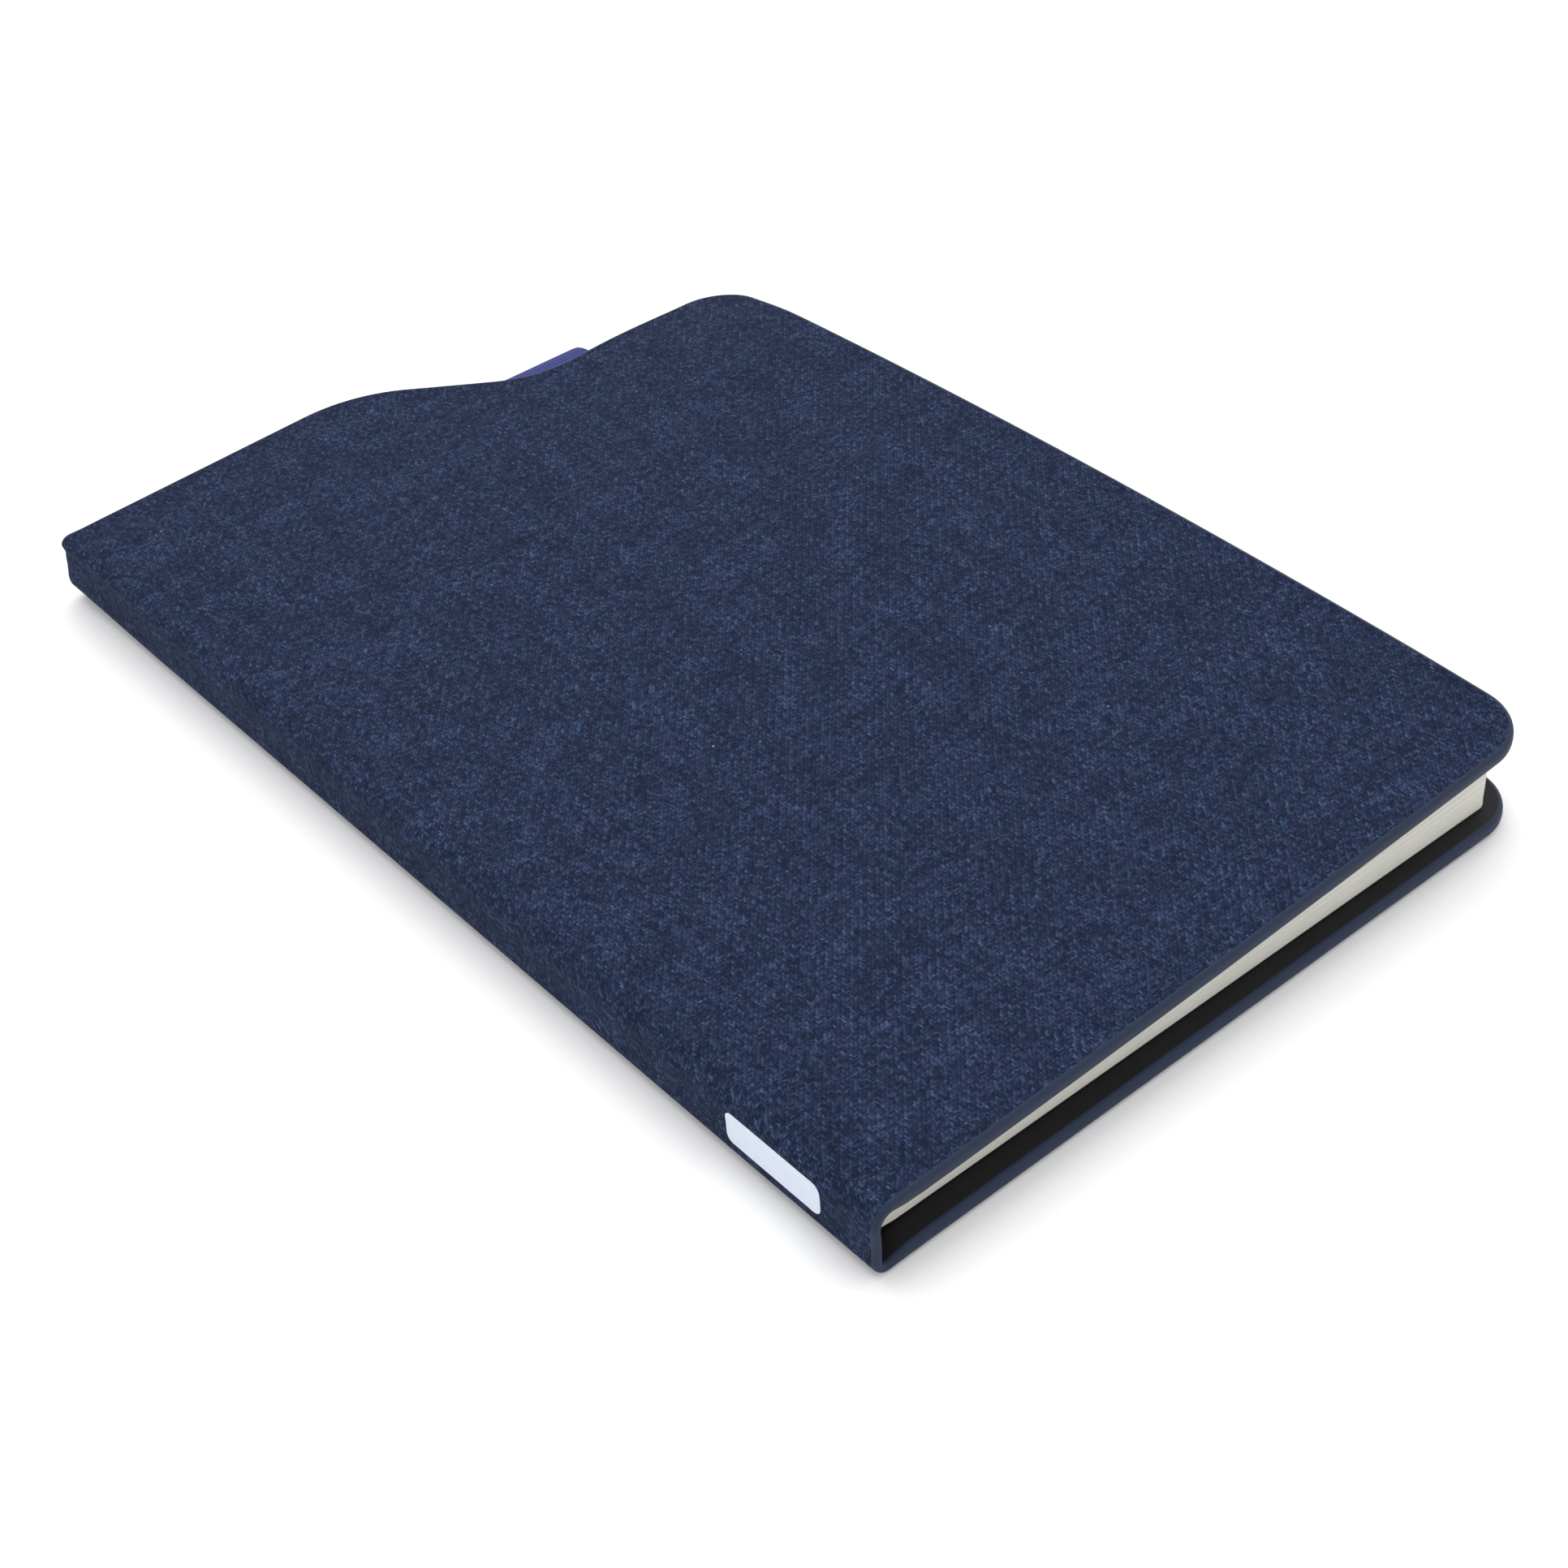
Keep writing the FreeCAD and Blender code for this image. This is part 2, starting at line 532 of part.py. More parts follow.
def pen_loop():
    """A flat band of elastic: an oval loop that stands in the step of the head edge, and a tab
    held between the back cover's board and its pastedown. The pen goes through along X."""
    body = new_body("pen_loop")
    near = FreeCAD.Vector(0, 0, 1)
    across, across_rule = sized("Sizes.loop_depth/2")
    tall, tall_rule = sized("Sizes.loop_tall/2")
    band = size("band_thickness")
    middle_y = HALF_LENGTH - size("head_step") + size("loop_inner_gap") + across
    middle_rule = ("Sizes.cover_length / 2 - Sizes.head_step + Sizes.loop_inner_gap"
                   " + Sizes.loop_depth / 2")
    ring = new_sketch(body, "loop_section", "YZ_Plane")
    rule = Sketcher.Constraint
    flat = across - tall
    for index, radius in enumerate((tall, tall - band)):
        first = 4 * index
        ring.addGeometry([
            Part.ArcOfCircle(Part.Circle(FreeCAD.Vector(middle_y + flat, tall, 0), near, radius),
                             -math.pi / 2, math.pi / 2),
            Part.LineSegment(FreeCAD.Vector(middle_y + flat, tall + radius, 0),
                             FreeCAD.Vector(middle_y - flat, tall + radius, 0)),
            Part.ArcOfCircle(Part.Circle(FreeCAD.Vector(middle_y - flat, tall, 0), near, radius),
                             math.pi / 2, 3 * math.pi / 2),
            Part.LineSegment(FreeCAD.Vector(middle_y - flat, tall - radius, 0),
                             FreeCAD.Vector(middle_y + flat, tall - radius, 0)),
        ])
        for step in range(4):
            ring.addConstraint(rule("Tangent", first + step, 2, first + (step + 1) % 4, 1))
        ring.addConstraint(rule("Horizontal", first + 1))
        name = ("outer", "inner")[index]
        thinner = "" if index == 0 else " - Sizes.band_thickness"
        bind(ring, rule("Radius", first, radius), name, tall_rule.replace("/2", " / 2") + thinner)
        for end, x_rule in ((0, " + "), (2, " - ")):
            half = "(Sizes.loop_depth / 2 - Sizes.loop_tall / 2)"
            place = middle_y + (flat if end == 0 else -flat)
            bind(ring, rule("DistanceX", -1, 1, first + end, 3, place), f"{name}_{'far' if end == 0 else 'near'}",
                 middle_rule + x_rule + half)
        bind(ring, rule("DistanceY", -1, 1, first, 3, tall), f"{name}_height", "Sizes.loop_tall / 2")
    pad(body, ring, "loop_pad", "Sizes.loop_width", both_ways=True)
    tab = new_sketch(body, "tab_outline", "YZ_Plane")
    draw_rectangle(
        tab,
        sized(f"{LOW_HEAD} - Sizes.tab_length"),
        sized("Sizes.cover_thickness - Sizes.pastedown_thickness - Sizes.tab_thickness"),
        sized(f"{LOW_HEAD} + Sizes.loop_inner_gap + Sizes.band_thickness"),
        sized("Sizes.cover_thickness - Sizes.pastedown_thickness"),
    )
    pad(body, tab, "tab_pad", "Sizes.loop_width", both_ways=True)
    where = FreeCAD.Vector(SPINE_FACE + size("loop_centre"), 0, 0)
    body.Placement = FreeCAD.Placement(where, FreeCAD.Rotation())


def named_pieces():
    """Every object that is a piece of the book: the bodies, and the loose primitives."""
    loose = ("spine_board", "spine_lining", "mull", "sewing_thread")
    bodies = [entry for entry in doc.Objects if entry.TypeId == "PartDesign::Body"]
    return bodies + [doc.getObject(name) for name in loose]


def check_document():
    for entry in doc.Objects:
        if "Invalid" in entry.State or "Error" in entry.State:
            raise RuntimeError(f"{entry.Label} failed: {entry.State}")
    for piece in named_pieces():
        if piece.Shape.isNull() or not piece.Shape.isValid() or not piece.Shape.Solids:
            raise RuntimeError(f"{piece.Label} has no valid solid")


back_cover()
front_cover()
spine()
joints()
page_stack()
binding()
pen_loop()
doc.recompute()
check_document()

os.makedirs(OUT, exist_ok=True)
for piece in named_pieces():
    piece.Shape.exportStep(f"{OUT}/{piece.Label}.step")
    bounds = piece.Shape.BoundBox
    print(f"{piece.Label:20s} {len(piece.Shape.Solids)} solid(s) {piece.Shape.Volume:9.1f} mm3"
          f"  x {bounds.XMin:7.2f} {bounds.XMax:7.2f}  y {bounds.YMin:7.2f} {bounds.YMax:7.2f}"
          f"  z {bounds.ZMin:6.2f} {bounds.ZMax:6.2f}")
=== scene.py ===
import math

import bpy
import numpy as np
from mathutils import Euler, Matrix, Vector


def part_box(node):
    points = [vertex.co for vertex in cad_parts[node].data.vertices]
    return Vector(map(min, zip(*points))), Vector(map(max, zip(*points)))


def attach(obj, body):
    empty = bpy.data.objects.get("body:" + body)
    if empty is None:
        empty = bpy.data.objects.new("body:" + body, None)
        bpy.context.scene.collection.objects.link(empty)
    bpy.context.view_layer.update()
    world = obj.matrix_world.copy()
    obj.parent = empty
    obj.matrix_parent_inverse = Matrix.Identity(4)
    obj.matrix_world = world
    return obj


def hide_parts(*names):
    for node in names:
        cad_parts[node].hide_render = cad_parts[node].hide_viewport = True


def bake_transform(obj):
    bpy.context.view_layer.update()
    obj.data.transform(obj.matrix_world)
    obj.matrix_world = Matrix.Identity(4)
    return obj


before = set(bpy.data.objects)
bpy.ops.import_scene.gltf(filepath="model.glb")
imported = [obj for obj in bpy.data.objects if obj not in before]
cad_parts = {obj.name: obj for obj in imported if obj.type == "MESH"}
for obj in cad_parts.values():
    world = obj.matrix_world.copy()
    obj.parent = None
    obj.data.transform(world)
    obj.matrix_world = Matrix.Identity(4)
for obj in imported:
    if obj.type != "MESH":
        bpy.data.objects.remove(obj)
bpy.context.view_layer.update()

# ---------------------------------------------------------------------------------------------
# The stage: a pale floor, soft studio light from above and behind, and a camera that looks down
# on the spine and the tail of the book.
# ---------------------------------------------------------------------------------------------
MM = 0.001
FLOOR_REACH, FLOOR_DROP = 4.0, 0.0004
WORLD_LIGHT = 1.05
SUNS = (("key", (0.30, 0.85, 1.30), 60, 1.05), ("fill", (0.9, -0.5, 1.0), 80, 0.35))
LENS, SENSOR = 60.24, 36.0
CAMERA_PLACE = (-0.19943, -0.27116, 0.25913)
CAMERA_TURN = (50.264, 3.666, -40.298)


class Shade:
    """A socket of a material's node tree. Arithmetic on it adds Math nodes."""

    def __init__(self, socket):
        self.socket = socket

    def node(self, kind, inputs=None, out=0, stops=None, **settings):
        """Adds any other node: its settings are set first, then its sockets are given values
        or links. stops are a colour ramp's places and colours."""
        tree = self.socket.id_data
        made = tree.nodes.new("ShaderNode" + kind)
        for name, value in settings.items():
            setattr(made, name, value)
        for index, (place, colour) in enumerate(stops or []):
            elements = made.color_ramp.elements
            element = elements[index] if index < 2 else elements.new(place)
            element.position = place
            element.color = (*colour, 1)
        for key, value in (inputs or {}).items():
            if isinstance(value, Shade):
                tree.links.new(value.socket, made.inputs[key])
            else:
                made.inputs[key].default_value = value
        return Shade(made.outputs[out])

    def math(self, operation, *others):
        """A Math node, with this socket as its first number."""
        return self.node("Math", dict(enumerate((self, *others))), operation=operation)

    def __add__(self, other):
        return self.math("ADD", other)

    def __sub__(self, other):
        return self.math("SUBTRACT", other)

    def __rsub__(self, other):
        return self.node("Math", {0: other, 1: self}, operation="SUBTRACT")

    def __mul__(self, other):
        return self.math("MULTIPLY", other)

    def __truediv__(self, other):
        return self.math("DIVIDE", other)

    def __lt__(self, other):
        return self.math("LESS_THAN", other)

    def __gt__(self, other):
        return self.math("GREATER_THAN", other)

    def smooth(self, low, high):
        """Runs smoothly from 0 at low to 1 at high."""
        return self.node("MapRange", {"Value": self, "From Min": low, "From Max": high},
                         interpolation_type="SMOOTHSTEP")

    def blended(self, first, second):
        """A colour between two, by this number."""
        first, second = (end if isinstance(end, Shade) else (*end, 1) for end in (first, second))
        return self.node("Mix", {0: self, 6: first, 7: second}, out=2, data_type="RGBA")

    def noise(self, scale, detail=2.0, roughness=0.5, place=None):
        """Soft noise over a place, or over this socket's own vector."""
        inputs = {"Vector": place or self, "Scale": scale, "Detail": detail, "Roughness": roughness}
        return self.node("TexNoise", inputs)

    def stretched(self, scale, turn=0.0):
        """This vector, scaled on each axis, and turned about Z by degrees first."""
        inputs = {"Vector": self, "Scale": scale, "Rotation": (0, 0, math.radians(turn))}
        return self.node("Mapping", inputs)

    def ridge(self):
        """Falls from 1 at each whole number to 0 half-way to the next."""
        return (self.math("FRACT") - 0.5).math("ABSOLUTE") * 2

    def near(self, value, reach):
        """1 within a reach of a value, and 0 beyond it."""
        return (self - value).math("ABSOLUTE") < reach

    def parts(self):
        """The first two numbers of a vector."""
        split = self.node("SeparateXYZ", {0: self})
        return split, Shade(split.socket.node.outputs[1])


def new_material(name, uv_map=None, **fixed):
    """A material with its main shader's fixed values set, and the place that it is worked out
    from: the piece's own flat map in millimetres, or the place in the book in metres."""
    material = bpy.data.materials.new(name)
    material.use_nodes = True
    shader = material.node_tree.nodes["Principled BSDF"]
    for key, value in fixed.items():
        shader.inputs[key.replace("_", " ")].default_value = value
    if uv_map:
        source = material.node_tree.nodes.new("ShaderNodeUVMap")
        source.uv_map = uv_map
        place = Shade(source.outputs[0])
    else:
        place = Shade(material.node_tree.nodes.new("ShaderNodeTexCoord").outputs["Object"])
    return material, shader, place


def drive(shader, **links):
    """Feeds a shader's sockets. Height goes through a Bump node to Normal, as (height, millimetres)."""
    tree = shader.id_data
    for key, value in links.items():
        if key == "Height":
            height, rise = value
            value = height.node("Bump", {"Height": height, "Distance": rise * MM, "Strength": 1.0})
            key = "Normal"
        tree.links.new(value.socket, shader.inputs[key.replace("_", " ")])


def stage():
    """Sets up the floor, a white world, two wide soft suns that point at the book, and the camera."""
    floor_mesh = bpy.data.meshes.new("floor")
    signs = ((-1, -1), (1, -1), (1, 1), (-1, 1))
    corners = [(FLOOR_REACH * x, FLOOR_REACH * y, -FLOOR_DROP) for x, y in signs]
    floor_mesh.from_pydata(corners, [], [(0, 1, 2, 3)])
    floor = bpy.data.objects.new("floor", floor_mesh)
    bpy.context.collection.objects.link(floor)
    paint, _, _ = new_material("studio_floor", Base_Color=(0.93, 0.93, 0.93, 1), Roughness=0.9)
    floor_mesh.materials.append(paint)

    world = bpy.data.worlds.new("studio")
    world.use_nodes = True
    world.node_tree.nodes["Background"].inputs["Color"].default_value = (1, 1, 1, 1)
    world.node_tree.nodes["Background"].inputs["Strength"].default_value = WORLD_LIGHT
    bpy.context.scene.world = world
    bpy.context.scene.view_settings.view_transform = "Standard"

    for name, place, softness, power in SUNS:
        light = bpy.data.lights.new(name, "SUN")
        light.angle = math.radians(softness)
        light.energy = power
        lamp = bpy.data.objects.new(name, light)
        lamp.location = place
        lamp.rotation_euler = (-lamp.location).to_track_quat("-Z", "Y").to_euler()
        bpy.context.collection.objects.link(lamp)

    view = bpy.data.cameras.new("camera")
    view.sensor_width = SENSOR
    view.lens = LENS
    view.clip_start = 0.01
    camera = bpy.data.objects.new("camera", view)
    camera.location = CAMERA_PLACE
    camera.rotation_euler = Euler([math.radians(angle) for angle in CAMERA_TURN])
    bpy.context.collection.objects.link(camera)
    bpy.context.scene.camera = camera


stage()

# ---------------------------------------------------------------------------------------------
# The pages: ten signatures, each of eight thin cream leaves, cut to the wave of the covers and
# ruled as a log, with a head band, columns and rows. They fan out a little to the fore-edge.
# ---------------------------------------------------------------------------------------------
# Sizes are in millimetres. x is measured out from the spine's face, and y from the middle.
SPINE_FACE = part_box("spine_cloth")[0].x / MM
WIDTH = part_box("back_edge_seal")[1].x / MM - SPINE_FACE
HALF_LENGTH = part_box("back_edge_seal")[1].y / MM
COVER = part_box("back_cloth")[0].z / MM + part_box("back_joint_cloth")[1].z / MM
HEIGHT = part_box("front_joint_cloth")[1].z / MM
CORNER, STEP = 9.0, 22.5
CREST_X, CREST_R = 50.0, 27.5
VALLEY_X, VALLEY_R = 94.0, 21.0
# The slope of the straight fall between the wave's two arcs: the line that touches them both.
FALL = (math.asin((CREST_R + VALLEY_R) / math.hypot(VALLEY_X - CREST_X, CREST_R + VALLEY_R - STEP))
        - math.atan2(CREST_R + VALLEY_R - STEP, VALLEY_X - CREST_X))
HINGE_X = 2.4
RISE_ANGLE, RISE_MORE = 1.85, 0.75
BOW, BOW_POWER = 3.2, 1.96
TAIL_SAG, TAIL_CURL, HEAD_CURL = 3.4, 0.17, 1.48


def smoothstep(value, low, high):
    """Runs from 0 at low to 1 at high, as 3t^2 - 2t^3."""
    share = np.clip((value - low) / (high - low), 0, 1)
    return share * share * (3 - 2 * share)


def corner_cut(x, corner, radius):
    """How far the round fore corners pull the outline in at x: r - sqrt(r^2 - d^2), where d is
    how far x lies past the corner's centre."""
    past = np.clip(x - corner, 0, radius)
    return radius - np.sqrt(np.maximum(radius ** 2 - past ** 2, 0))


def head_edge(x, inset, corner, radius):
    """The waved head edge: level, a convex arc, a straight fall, a concave arc, level and lower.
    Inside the cover's outline the convex arc shrinks by the inset and the concave one grows."""
    crest, valley = CREST_R - inset, VALLEY_R + inset
    top_x = CREST_X + crest * math.sin(FALL)
    foot_x = VALLEY_X - valley * math.sin(FALL)
    crest_y = HALF_LENGTH - CREST_R
    valley_y = HALF_LENGTH - STEP + VALLEY_R
    on_crest = crest_y + np.sqrt(np.maximum(crest ** 2 - (x - CREST_X) ** 2, 0))
    on_valley = valley_y - np.sqrt(np.maximum(valley ** 2 - (x - VALLEY_X) ** 2, 0))
    on_fall = crest_y + crest * math.cos(FALL) - (x - top_x) * math.tan(FALL)
    low = HALF_LENGTH - STEP - inset - corner_cut(x, corner, radius)
    return np.select([x < CREST_X, x < top_x, x < foot_x, x < VALLEY_X],
                     [np.full_like(x, HALF_LENGTH - inset), on_crest, on_fall, on_valley], low)


def plan_grid(start, inset, rows=26, bend=(), corner=WIDTH - CORNER, radius=None, tail_gap=lambda x: 0.0):
    """Points of the outline's inside. Columns lie close together where the outline bends, and run
    as a sine into the round fore corner. Each column runs from the tail edge to the head edge."""
    radius = radius or CORNER - inset
    x = np.concatenate([np.array(bend),
                        np.linspace(start, CREST_X, 14),
                        np.linspace(CREST_X, VALLEY_X, 22)[1:],
                        np.linspace(VALLEY_X, corner, 8)[1:],
                        corner + radius * np.sin(np.linspace(0, math.pi / 2, 14)[1:])])
    share = 0.5 - 0.5 * np.cos(math.pi * np.linspace(0, 1, rows)[None, :])
    low = (-HALF_LENGTH + inset + corner_cut(x, corner, radius) + tail_gap(x))[:, None]
    high = head_edge(x, inset, corner, radius)[:, None]
    return np.repeat(x[:, None], rows, 1), low + (high - low) * share


def front_lift(x, y):
    """How far the closed front cover stands above level: the rise from its hinge, a bow that is
    highest at the middle of the fore-edge, a sag along the tail, and fore corners that curl down."""
    past_hinge = x - HINGE_X
    across = np.clip(past_hinge / (WIDTH - HINGE_X), 0, 1)
    along = y / HALF_LENGTH
    rise = math.tan(math.radians(RISE_ANGLE)) * past_hinge * smoothstep(x, HINGE_X, 7.0) + RISE_MORE * across
    bow = BOW * across ** BOW_POWER * (1 - along ** 2)
    sag = TAIL_SAG * across * (1 - across) * smoothstep(-y, -20, HALF_LENGTH)
    tail_curl = TAIL_CURL * smoothstep(x, WIDTH - 34, WIDTH) * smoothstep(-y, HALF_LENGTH - 26, HALF_LENGTH)
    head_curl = HEAD_CURL * smoothstep(x, WIDTH - 30, WIDTH) * smoothstep(y, 60, HALF_LENGTH - STEP)
    return rise + bow - sag - tail_curl - head_curl


def outward(points, faces):
    """Turns all the faces of a closed skin over, if the volume that they hold is negative. The
    volume is in proportion to the sum of a . (b x c + c x d) over faces a, b, c, d."""
    a, b, c, d = (points[faces[:, k]] for k in range(4))
    volume = np.einsum("ij,ij->i", a, np.cross(b, c) + np.cross(c, d)).sum()
    return faces[:, ::-1] if volume < 0 else faces


def shell(outer, inner, flat):
    """A closed skin from two grids of the same size, joined round their four sides. Both have
    the same flat map."""
    rows, cols = outer.shape[:2]
    index = np.arange(rows * cols).reshape(rows, cols)
    top = np.stack([index[:-1, :-1], index[1:, :-1], index[1:, 1:], index[:-1, 1:]], -1).reshape(-1, 4)
    under = top[:, ::-1] + rows * cols
    ring = np.concatenate([index[0, :], index[1:, -1], index[-1, -2::-1], index[-2:0:-1, 0]])
    after = np.roll(ring, -1)
    side = np.stack([ring, after, after + rows * cols, ring + rows * cols], -1)
    points = np.concatenate([outer.reshape(-1, 3), inner.reshape(-1, 3)])
    return points, outward(points, np.concatenate([top, under, side])), np.tile(flat.reshape(-1, 2), (2, 1))


def make_piece(name, skins, material, sharp=35.0):
    """One mesh from several closed skins, in the frame's metres, with a flat map called 'flat'."""
    firsts = np.cumsum([0] + [len(skin[0]) for skin in skins])
    points = np.concatenate([skin[0] for skin in skins]) * MM
    faces = np.concatenate([skin[1] + first for skin, first in zip(skins, firsts)])
    uv = np.concatenate([skin[2] for skin in skins])
    mesh = bpy.data.meshes.new(name)
    mesh.vertices.add(len(points))
    mesh.vertices.foreach_set("co", points.astype(np.float32).ravel())
    mesh.loops.add(faces.size)
    mesh.loops.foreach_set("vertex_index", faces.astype(np.int32).ravel())
    mesh.polygons.add(len(faces))
    mesh.polygons.foreach_set("loop_start", np.arange(0, faces.size, 4, dtype=np.int32))
    mesh.polygons.foreach_set("use_smooth", np.ones(len(faces), bool))
    mesh.update(calc_edges=True)
    flat = mesh.uv_layers.new(name="flat")
    flat.data.foreach_set("uv", uv[faces.ravel()].astype(np.float32).ravel())
    mesh.validate()
    mesh.set_sharp_from_angle(angle=math.radians(sharp))
    mesh.materials.append(material)
    piece = bpy.data.objects.new(name, mesh)
    bpy.context.collection.objects.link(piece)
    return piece


PAGE_INSET, PAGE_CORNER = 4.0, 1.6
PAGE_CORNER_X = WIDTH - 5.6 - PAGE_CORNER
GUTTER, PINCH, PINCH_REACH = 3.14, 0.55, 1.3
BLOCK_GAP, SETTLING = 0.16, 0.16
BLOCK_LOW, BLOCK_HIGH = COVER + BLOCK_GAP, HEIGHT - COVER - BLOCK_GAP
SIGNATURES, LEAVES = 10, 8
SHEETS = SIGNATURES * LEAVES
page_random = np.random.default_rng(7)


def block_level(x, y, share):
    """The height of a level in the pages, from 0 at the bottom to 1 at the top. At the gutter the
    levels close in by half a millimetre, where the spine's inside is round, and towards the
    fore-edge the block settles a little away from the bowed front cover."""
    pinch = PINCH * np.exp(-(x - GUTTER) / PINCH_REACH)
    low = BLOCK_LOW + pinch
    high = BLOCK_HIGH - pinch + front_lift(x, y) - SETTLING * (x / WIDTH) ** 1.5
    return low + (high - low) * share


def tail_gap(x):
    """The block is cut a little out of square: at the tail it stops shorter near the spine."""
    return 0.25 - 0.95 * x / WIDTH


def paper():
    """Cream paper with faint clouding and fibres. On the faces of the leaves there are grey-blue
    rules: rows eight millimetres apart, columns of a few widths and a double head rule."""
    material, shader, flat = new_material("cream_paper", "flat", Roughness=0.85)
    u, v = flat.parts()
    row_pitch, above_zero = 8.0, 400
    rows = (((v + above_zero) / row_pitch).math("FRACT") < 0.022) * (v > -88) * (v < 66)
    head_rules = v.near(67, 0.22) + v.near(75, 0.12)
    columns = u.near(22, 0.1)
    for place in (34, 46, 66, 78, 90, 102, 114):
        columns = columns + u.near(place, 0.1)
    inside = (u > 8) * (u < 122) * (v > -96) * (v < 75.3)
    ink = (rows + head_rules + columns).math("MINIMUM", 1.0) * inside * 0.75
    cloud = flat.noise(0.08, 3)
    fibre = flat.noise(2.2, 4, 0.7)
    cream = cloud.blended((0.59, 0.585, 0.53), (0.67, 0.665, 0.615))
    cream = (fibre * 0.30).blended(cream, (0.52, 0.51, 0.45))
    drive(shader, Base_Color=ink.blended(cream, (0.10, 0.15, 0.28)), Height=(fibre, 0.012))
    return material


def leaf_skin(x, y, low, high, drift=0.0):
    """One leaf between two levels. Its flat map gives millimetres out from the spine's face and
    from the middle of the book."""
    outer, inner = (np.stack([SPINE_FACE + x, y + drift, level], -1) for level in (high, low))
    return shell(outer, inner, np.stack([x, y], -1))


def signature(number, material):
    """Eight leaves as thin closed skins, each a little off its neighbours at the cut edges."""
    first = (SIGNATURES - number) * LEAVES
    fold_offset = page_random.uniform(-0.05, 0.05)
    skins = []
    for leaf in range(first, first + LEAVES):
        inset = PAGE_INSET + fold_offset + page_random.uniform(-0.015, 0.02)
        x, y = plan_grid(GUTTER, inset, 14, corner=PAGE_CORNER_X, radius=PAGE_CORNER, tail_gap=tail_gap)
        drift = page_random.uniform(-0.03, 0.03) * 0.5
        low = block_level(x, y, (leaf + 0.01) / SHEETS)
        high = block_level(x, y, (leaf + 0.99) / SHEETS)
        skins.append(leaf_skin(x, y, low, high, drift))
    piece = make_piece(f"pages_{number:02d}", skins, material)
    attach(piece, f"leaves_{number:02d}")
    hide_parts(f"leaves_{number:02d}")


cream_paper = paper()
for number in range(1, SIGNATURES + 1):
    signature(number, cream_paper)

# ---------------------------------------------------------------------------------------------
# The flyleaves: one leaf of near-black paper at each end of the pages, glued down along the
# gutter. The same paper lines the insides of the covers.
# ---------------------------------------------------------------------------------------------
FLYLEAF_THICKNESS, FLYLEAF_GAP = 0.09, 0.08


def black_paper():
    """Near-black lining paper with a fine leather-like grain and a few pale rubs."""
    material, shader, flat = new_material("black_lining_paper", "flat", Specular_IOR_Level=0.25)
    grain = flat.node("TexVoronoi", {"Vector": flat, "Scale": 2.4, "Randomness": 1.0}, feature="F1")
    cloud = flat.noise(0.15, 4)
    rubs = flat.stretched((1.2, 0.25, 1), 20).noise(0.5, 5, 0.7).smooth(0.66, 0.80)
    colour = cloud.blended((0.0040, 0.0042, 0.0050), (0.0080, 0.0082, 0.0095))
    colour = (rubs * 0.30).blended(colour, (0.050, 0.050, 0.050))
    drive(shader, Base_Color=colour, Roughness=cloud * 0.3 + 0.5, Height=(grain, 0.02))
    return material


black_lining = black_paper()


def flyleaf(side, level):
    """A single black leaf; level is its place between the covers, 0 under the pages, 1 over them."""
    x, y = plan_grid(GUTTER, PAGE_INSET, 14, corner=PAGE_CORNER_X, radius=PAGE_CORNER, tail_gap=tail_gap)
    middle = block_level(x, y, level) + (FLYLEAF_GAP if level else -FLYLEAF_GAP)
    low, high = middle - FLYLEAF_THICKNESS / 2, middle + FLYLEAF_THICKNESS / 2
    piece = make_piece(f"{side}_black_leaf", [leaf_skin(x, y, low, high)], black_lining)
    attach(piece, f"{side}_flyleaf")
    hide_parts(f"{side}_flyleaf")


flyleaf("front", 1.0)
flyleaf("back", 0.0)

# ---------------------------------------------------------------------------------------------
# The sewing: white thread that links the folds of the ten signatures at six places, and an open
# gauze strip glued over it.
# ---------------------------------------------------------------------------------------------
THREAD_RADIUS, GAUZE_RADIUS = 0.05, 0.05
STITCH_STATIONS = 6


def ringed_skin(rings):
    """A closed skin over a row of rings of points, each with an even number of them. Its two ends
    are closed by strips of quads across the first ring and the last."""
    count, sides = rings.shape[:2]
    points = rings.reshape(-1, 3)
    index = np.arange(count * sides).reshape(count, sides)
    nearby = np.roll(index, -1, 1)
    wall = np.stack([index[:-1], nearby[:-1], nearby[1:], index[1:]], -1).reshape(-1, 4)
    step = np.arange(sides // 2 - 1)
    strip = np.stack([step, step + 1, sides - 2 - step, sides - 1 - step], -1)
    return points, outward(points, np.concatenate([wall, index[0][strip][:, ::-1], index[-1][strip]]))


def tube(path, radius, sides=6):
    """A round tube along a path: a ring of points at each step, in the two directions square to
    the path's general run. It narrows to a point at both ends."""
    run = path[-1] - path[0]
    run = run / np.linalg.norm(run)
    across = np.cross(run, [0.0, 0.3, 0.1] if abs(run[1]) < 0.9 else [1.0, 0.2, 0.0])
    across = across / np.linalg.norm(across)
    beside = np.cross(run, across)
    angles = np.linspace(0, 2 * math.pi, sides, endpoint=False)
    ring = np.cos(angles)[:, None] * across + np.sin(angles)[:, None] * beside
    size = np.full(len(path), radius)
    size[[0, -1]] = radius * 0.05
    points, faces = ringed_skin(path[:, None, :] + size[:, None, None] * ring[None])
    length = np.linalg.norm(path - path[0], axis=1)
    return points, faces, np.stack([np.repeat(length, sides), np.tile(angles * radius, len(path))], -1)


def twisted_thread():
    """White linen thread: a fine slanting twist across its length, with painted shade in the grooves of the
    twist.
    """
    material, shader, flat = new_material("linen_thread", "flat", Roughness=0.8)
    u, v = flat.parts()
    twist = (u * 2.6 + v * 3.0).ridge()
    # Painted shade: the colour follows the twist's height, darker in its grooves.
    drive(shader, Base_Color=twist.blended((0.62, 0.60, 0.54), (0.86, 0.85, 0.80)), Height=(twist, 0.03))
    return material


